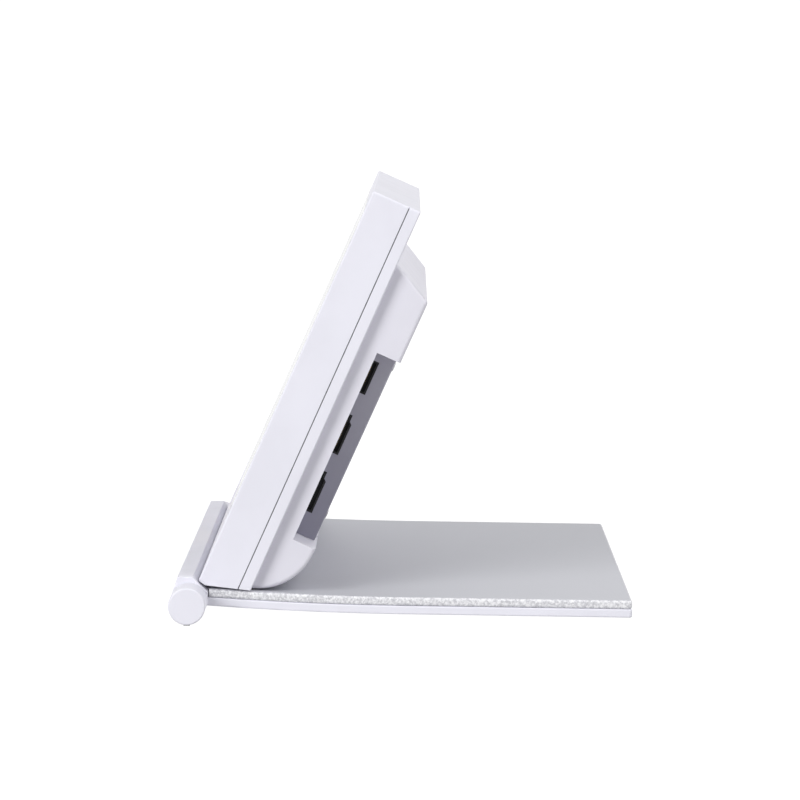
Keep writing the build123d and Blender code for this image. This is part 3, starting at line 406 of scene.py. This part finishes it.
def shadow_line(finish):
    """Paints shade along the groove at the parting line: a dark grey band where little light gets in."""
    tree = finish.node_tree
    shader = tree.nodes["Principled BSDF"]
    at = head_position(tree)
    off_line = sums(tree, "ABSOLUTE", sums(tree, "SUBTRACT", at["Y"], parting_v), 0.0)
    near = sums(tree, "LESS_THAN", off_line, groove_reach)
    inside = sums(tree, "LESS_THAN", sums(tree, "ABSOLUTE", at["X"], 0.0), shell_half)
    below = sums(tree, "LESS_THAN", at["Z"], shell_reach)
    mask = sums(tree, "MULTIPLY", near, sums(tree, "MULTIPLY", inside, below))
    own_colour = shader.inputs["Base Color"].links[0].from_socket
    tree.links.new(mix_colours(tree, mask, own_colour, painted_groove_shade), shader.inputs["Base Color"])


casing_plastic = moulded("casing_plastic", (0.79, 0.785, 0.86), 0.45)
# Painted shade along the parting line, over the casing's own colour.
shadow_line(casing_plastic)
coat(casing_plastic, "front_bezel", "rear_shell")
# Painted shade: the same white plastic as the casing, made darker for the shade on the housing's and lobe's
# sides.
shaded_housing_plastic = moulded("shaded_housing_plastic", (0.72, 0.71, 0.78), 0.48)
coat(shaded_housing_plastic, "camera_housing", "lobe_cover")

# ---- Bay cover ----
# Dark grey ABS cover over the sockets and the battery, with a coarser grain, screwed to pillars on
# the casing's back. Shade is painted into its colour: darker towards its foot, lighter towards its top.

shade_ramp_foot = 0.02            # heights on the head between which the painted shade changes
shade_ramp_top = 0.1
grey_plastic = moulded("grey_plastic", (0.43, 0.42, 0.48), 0.5, grain=0.0006, depth=0.00002)
tree = grey_plastic.node_tree
shader = tree.nodes["Principled BSDF"]
own_colour = shader.inputs["Base Color"].links[0].from_socket
# Painted shade: the colour is multiplied darker towards the cover's foot and a little lighter at its top.
shade_ramp = span(tree, head_position(tree)["Z"], shade_ramp_foot, shade_ramp_top, 0.0, 1.0)
painted_shade_tone = mix_colours(tree, shade_ramp, (0.68, 0.68, 0.74), (1.1, 1.1, 1.1))
shaded_colour = add(tree, "ShaderNodeMix", data_type="RGBA", blend_type="MULTIPLY")
shaded_colour.inputs[0].default_value = 1.0
tree.links.new(own_colour, shaded_colour.inputs[6])
tree.links.new(painted_shade_tone, shaded_colour.inputs[7])
tree.links.new(shaded_colour.outputs[2], shader.inputs["Base Color"])
coat(grey_plastic, "bay_cover")

# ---- Sockets ----
# Black glass-filled nylon bodies on the socket board. The two data sockets have a tongue with a
# row of gold contacts on each side, stamped and pressed in.

contact_size = (0.0032, 0.00014, 0.0005)
tongue_middle = 0.0036      # tongue's middle in front of the socket's back
tongue_face = 0.00072       # contacts on each side of that middle
row_margin = 0.0042         # end contacts inside the socket's ends

black_plastic = moulded("black_plastic", (0.006, 0.006, 0.007), 0.6)
coat(black_plastic, "hdmi_socket", "usb_socket", "power_socket", "lens_barrel", "camera_wedge")
gold = metal("contact_gold", (0.75, 0.5, 0.2), 0.25, 0.0004)
for node, count in (("hdmi_socket", 10), ("usb_socket", 12)):
    points = [head_place.inverted() @ p for p in solids_of(node)[0]]
    end_x = max(p.x for p in points)
    low_u = min(p.z for p in points)
    high_u = max(p.z for p in points)
    mid_v = max(p.y for p in points) - tongue_middle
    mid_u = (low_u + high_u) / 2
    row_half = (high_u - low_u) / 2 - row_margin
    contacts = bmesh.new()
    for index in range(count):
        for face in (-1, 1):
            strip = bmesh.ops.create_cube(contacts, size=1.0)["verts"]
            bmesh.ops.scale(contacts, verts=strip, vec=contact_size)
            u = mid_u - row_half + 2 * row_half * index / (count - 1)
            spot = (end_x - contact_size[0], mid_v + face * tongue_face, u)
            bmesh.ops.translate(contacts, verts=strip, vec=spot)
    bmesh.ops.transform(contacts, matrix=head_place, verts=contacts.verts)
    finished(node.replace("socket", "contacts"), contacts, gold, "head", "brass")

# ---- Screen ----
# Clear cover glass with a black border printed on its inner side, over a switched-off display that
# is a shade lighter and bluer than the border.

glass_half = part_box("screen_glass")[1][0]
clear_half = glass_half - 0.003
clear_foot = 0.0015
clear_top = 0.1685
border = 0.006              # printed border inside those limits
glass, tree, shader = new_finish("screen_glass", (0.01, 0.01, 0.012), 0.06, specular_ior_level=0.4)
at = head_position(tree)
edge_x = sums(tree, "SUBTRACT", clear_half, sums(tree, "ABSOLUTE", at["X"], 0.0))
edge_low = sums(tree, "SUBTRACT", at["Z"], clear_foot)
edge_high = sums(tree, "SUBTRACT", clear_top, at["Z"])
edge = sums(tree, "MINIMUM", edge_x, sums(tree, "MINIMUM", edge_low, edge_high))
open_area = span(tree, edge, border - 0.0002, border, 0.0, 1.0)
smear = span(tree, noise(tree, 0.05, 5.0, 0.6), 0.45, 0.75, 0.05, 0.11)
printed = mix_colours(tree, open_area, (0.004, 0.004, 0.004), (0.014, 0.015, 0.019))
tree.links.new(printed, shader.inputs["Base Color"])
tree.links.new(smear, shader.inputs["Roughness"])
bump(tree, shader, [(noise(tree, 0.08, 2.0), 0.000004)])
coat(glass, "screen_glass")
film = moulded("display_film", (0.02, 0.021, 0.026), 0.3)
coat(film, "display_panel")

# ---- Windows and lamps ----
# Smoked acrylic over the camera, and milky acrylic over the two rows of white LEDs, which spreads
# their light over the page. All three are glued in their rebates.

smoked, tree, shader = new_finish("window_glass", (0.012, 0.012, 0.014), 0.07, coat_weight=0.2)
smear = span(tree, noise(tree, 0.03, 5.0, 0.6), 0.45, 0.75, 0.06, 0.12)
tree.links.new(smear, shader.inputs["Roughness"])
tint = span(tree, noise(tree, 0.02, 2.0), 0.3, 0.7, 0.0, 1.0)
smoke = mix_colours(tree, tint, (0.010, 0.010, 0.012), (0.015, 0.015, 0.018))
tree.links.new(smoke, shader.inputs["Base Color"])
coat(smoked, "camera_window")
milky = moulded("diffuser_plastic", (0.85, 0.85, 0.82), 0.3, subsurface_weight=0.1)
coat(milky, "lamp_window_left", "lamp_window_right", "backlight")

# ---- Boards ----
# Green glass-fibre boards with a glossy solder mask, and the copper tracks showing through it. The
# main board is screwed to standoffs on the display frame.

board, tree, shader = new_finish("circuit_board", (0.012, 0.09, 0.035), 0.3)
cells = add(tree, "ShaderNodeTexVoronoi", scale=700.0, feature="DISTANCE_TO_EDGE")
cells.inputs["Randomness"].default_value = 0.55
tree.links.new(own_place(tree), cells.inputs["Vector"])
tracks = span(tree, cells.outputs["Distance"], 0.02, 0.05, 1.0, 0.0)
masked = mix_colours(tree, tracks, (0.010, 0.085, 0.032), (0.03, 0.17, 0.06))
tree.links.new(masked, shader.inputs["Base Color"])
bump(tree, shader, [(tracks, 0.00003)])
coat(board, "main_board", "key_board", "camera_board", "socket_board", "lamp_board_left", "lamp_board_right")

# ---- Display frame, battery and speakers ----
# Folded sheet-steel frame behind the display; a battery in black shrink film; and two speakers whose
# black woven cloth shows behind the slots.

coat(steel, "display_frame")
shrink_film, tree, shader = new_finish("shrink_film", (0.012, 0.012, 0.014), 0.25)
wrinkle = noise(tree, 0.009, 4.0, 0.7)
creased = mix_colours(tree, wrinkle, (0.008, 0.008, 0.01), (0.02, 0.02, 0.023))
tree.links.new(creased, shader.inputs["Base Color"])
bump(tree, shader, [(wrinkle, 0.0003)])
coat(shrink_film, "battery_pack")
cloth, tree, shader = new_finish("speaker_cloth", (0.02, 0.02, 0.02), 0.85)
threads = add(tree, "ShaderNodeTexVoronoi", scale=1600.0, feature="F1")
threads.inputs["Randomness"].default_value = 0.0
tree.links.new(own_place(tree), threads.inputs["Vector"])
weave = span(tree, threads.outputs["Distance"], 0.2, 0.6, 0.0, 1.0)
woven = mix_colours(tree, weave, (0.05, 0.05, 0.05), (0.004, 0.004, 0.004))
tree.links.new(woven, shader.inputs["Base Color"])
bump(tree, shader, [(weave, -0.0002)])
coat(cloth, "speaker_left", "speaker_right")

# ---- Keys ----
# Round satin caps with a shallow dish. Each has a raised mark that can be felt, moulded in a second
# colour: power, colour mode, smaller, larger, freeze and lamp.

dish_bottom = 0.0007        # dish and mark below the casing's face
mark_top = 0.00032
mark_thickness = dish_bottom - mark_top + 0.0001
face_v = -0.0174            # casing's face in front of the hinge axis
key_drop = 0.019            # row of keys below it
mark_round = 0.00012
line = 0.0012               # width of the plus and minus signs
sign_length = 0.0066
ring_radius = 0.0036
bar_shift = 0.0014          # freeze bars beside the middle
ray_middle = 0.0031         # lamp's rays from the middle


def stroke(made, x, u, width, height, turn=0.0):
    """A raised bar: its middle, its size and its turn."""
    bar = bmesh.ops.create_cube(made, size=1.0)["verts"]
    bmesh.ops.scale(made, verts=bar, vec=(width, mark_thickness, height))
    edges = {edge for vert in bar for edge in vert.link_edges}
    rounded = bmesh.ops.bevel(made, geom=list(edges), offset=mark_round, affect="EDGES", segments=2,
                              profile=0.5, material=-1)
    bar = list({v for f in rounded["faces"] for v in f.verts} | {v for v in bar if v.is_valid})
    bmesh.ops.rotate(made, verts=bar, matrix=Matrix.Rotation(turn, 3, "Y"))
    shift = (x * math.cos(turn) + u * math.sin(turn), 0, u * math.cos(turn) - x * math.sin(turn))
    bmesh.ops.translate(made, verts=bar, vec=shift)


def disc(made, radius, inner=0.0, arc=math.tau, start=0.0):
    """A raised disc or ring, or a part of one."""
    deep = mark_thickness / 2
    corners = [(inner, -deep), (radius, -deep), (radius, deep), (inner, deep)]
    points = [made.verts.new((r, y, 0)) for r, y in corners]
    section = points + [made.edges.new((points[i], points[(i + 1) % 4])) for i in range(4)]
    whole = arc > math.tau - 0.001
    if not whole:
        section.append(made.faces.new(points))
    bmesh.ops.rotate(made, verts=points, matrix=Matrix.Rotation(start, 3, "Y"))
    bmesh.ops.spin(made, geom=section, cent=(0, 0, 0), axis=(0, 1, 0), angle=arc, steps=28,
                   use_merge=whole)
    bmesh.ops.remove_doubles(made, verts=made.verts, dist=0.000001)


white_mark = moulded("white_mark", (0.85, 0.85, 0.85), 0.35)
dark_mark = moulded("dark_mark", (0.02, 0.02, 0.02), 0.35)
marks = {key: bmesh.new() for key in
         ("power_key", "colour_key", "zoom_out_key", "zoom_in_key", "freeze_key", "light_key")}
disc(marks["power_key"], ring_radius, 0.0028, math.radians(290), math.radians(-55))
stroke(marks["power_key"], 0, 0.0028, 0.0008, 0.0032)
disc(marks["colour_key"], ring_radius, 0.0030)
disc(marks["colour_key"], 0.0026, 0.0, math.pi, -math.pi / 2)
stroke(marks["zoom_out_key"], 0, 0, sign_length, line)
stroke(marks["zoom_in_key"], 0, 0, sign_length, line)
stroke(marks["zoom_in_key"], 0, 0, line, sign_length)
for side in (-1, 1):
    stroke(marks["freeze_key"], side * bar_shift, 0, 0.0013, 0.0058)
disc(marks["light_key"], 0.0017)
for ray in range(8):
    stroke(marks["light_key"], 0, ray_middle, 0.0006, 0.0014, ray * math.pi / 4)
key_looks = {
    "power_key": ((0.42, 0.015, 0.015), white_mark, "key_red"),
    "colour_key": ((0.02, 0.07, 0.35), white_mark, "key_blue"),
    "zoom_out_key": ((0.75, 0.5, 0.03), dark_mark, "key_yellow"),
    "zoom_in_key": ((0.75, 0.5, 0.03), dark_mark, "key_yellow"),
    "freeze_key": ((0.12, 0.12, 0.14), white_mark, "key_grey"),
    "light_key": ((0.12, 0.12, 0.14), white_mark, "key_grey"),
}
for key, (colour, mark_finish, slot) in key_looks.items():
    coat(moulded("cap_" + key, colour, 0.3, grain=0.0003, depth=0.000006), key)
    low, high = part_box(key)
    middle = (low[0] + high[0]) / 2
    mark_v = face_v + (mark_top + dish_bottom) / 2
    made = marks[key]
    bmesh.ops.recalc_face_normals(made, faces=made.faces)
    place = head_place @ Matrix.Translation((middle, mark_v, -key_drop))
    bmesh.ops.transform(made, matrix=place, verts=made.verts)
    finished(key.replace("key", "mark"), made, mark_finish, key + "_body", slot)

# ---- Studio ----
# A white floor that runs to the horizon, an even white surround, a wide soft light from the reader's
# front right and another from above and behind. Floor and surround are bright to look at, but throw
# less light than that on the object.

floor_reach = 60.0
floor_glow = 1.0
floor_fill = 0.4            # floor's light on the object
surround_glow = 1.1
surround_fill = 0.24        # surround's light on the object

made = bmesh.new()
bmesh.ops.create_grid(made, x_segments=1, y_segments=1, size=floor_reach)
floor = placed(made, "floor")
floor_finish, tree, shader = new_finish("floor", (0.12, 0.12, 0.12), 0.9)
shader.inputs["Emission Color"].default_value = (1.0, 1.0, 1.0, 1.0)
shader.inputs["Specular IOR Level"].default_value = 0.0
floor_ray = add(tree, "ShaderNodeLightPath").outputs["Is Diffuse Ray"]
glow = span(tree, floor_ray, 0.0, 1.0, floor_glow, floor_fill)
tree.links.new(glow, shader.inputs["Emission Strength"])
floor.data.materials.append(floor_finish)

world = bpy.data.worlds.new("surround")
bpy.context.scene.world = world
world.use_nodes = True
tree = world.node_tree
sky = tree.nodes["Background"]
sky_ray = add(tree, "ShaderNodeLightPath").outputs["Is Diffuse Ray"]
glow = span(tree, sky_ray, 0.0, 1.0, surround_glow, surround_fill)
tree.links.new(glow, sky.inputs["Strength"])
sky.inputs["Color"].default_value = (1.0, 1.0, 1.0, 1.0)
bpy.context.scene.view_settings.view_transform = "Standard"


def soft_sun(name, towards, strength, spread):
    """A wide soft light from a direction."""
    light = bpy.data.lights.new(name, "SUN")
    light.energy = strength
    light.angle = math.radians(spread)
    sun = bpy.data.objects.new(name, light)
    sun.rotation_euler = Vector(towards).to_track_quat("Z", "Y").to_euler()
    bpy.context.scene.collection.objects.link(sun)


soft_sun("front_light", (0.7, -0.58, 0.44), 2.2, 32.0)
soft_sun("top_light", (0.22, 0.62, 0.75), 1.45, 50.0)

# ---- Camera ----
# A long lens over two metres away on the reader's right. It stands a little above the head, and is
# tilted down by five degrees.

pitch = math.radians(4.979)
yaw = math.radians(0.154)
roll = math.radians(0.11)
view = bpy.data.cameras.new("camera")
view.sensor_width = 36.0
view.lens = 182.54
view.clip_end = 200.0
camera = bpy.data.objects.new("camera", view)
aim = Vector((-math.cos(pitch) * math.cos(yaw), -math.cos(pitch) * math.sin(yaw), -math.sin(pitch)))
tilt = Matrix.Rotation(roll, 3, "Z").to_quaternion()
camera.rotation_euler = (aim.to_track_quat("-Z", "Y") @ tilt).to_euler()
camera.location = (2.2373, 0.0045, 0.2929)
bpy.context.scene.collection.objects.link(camera)
bpy.context.scene.camera = camera
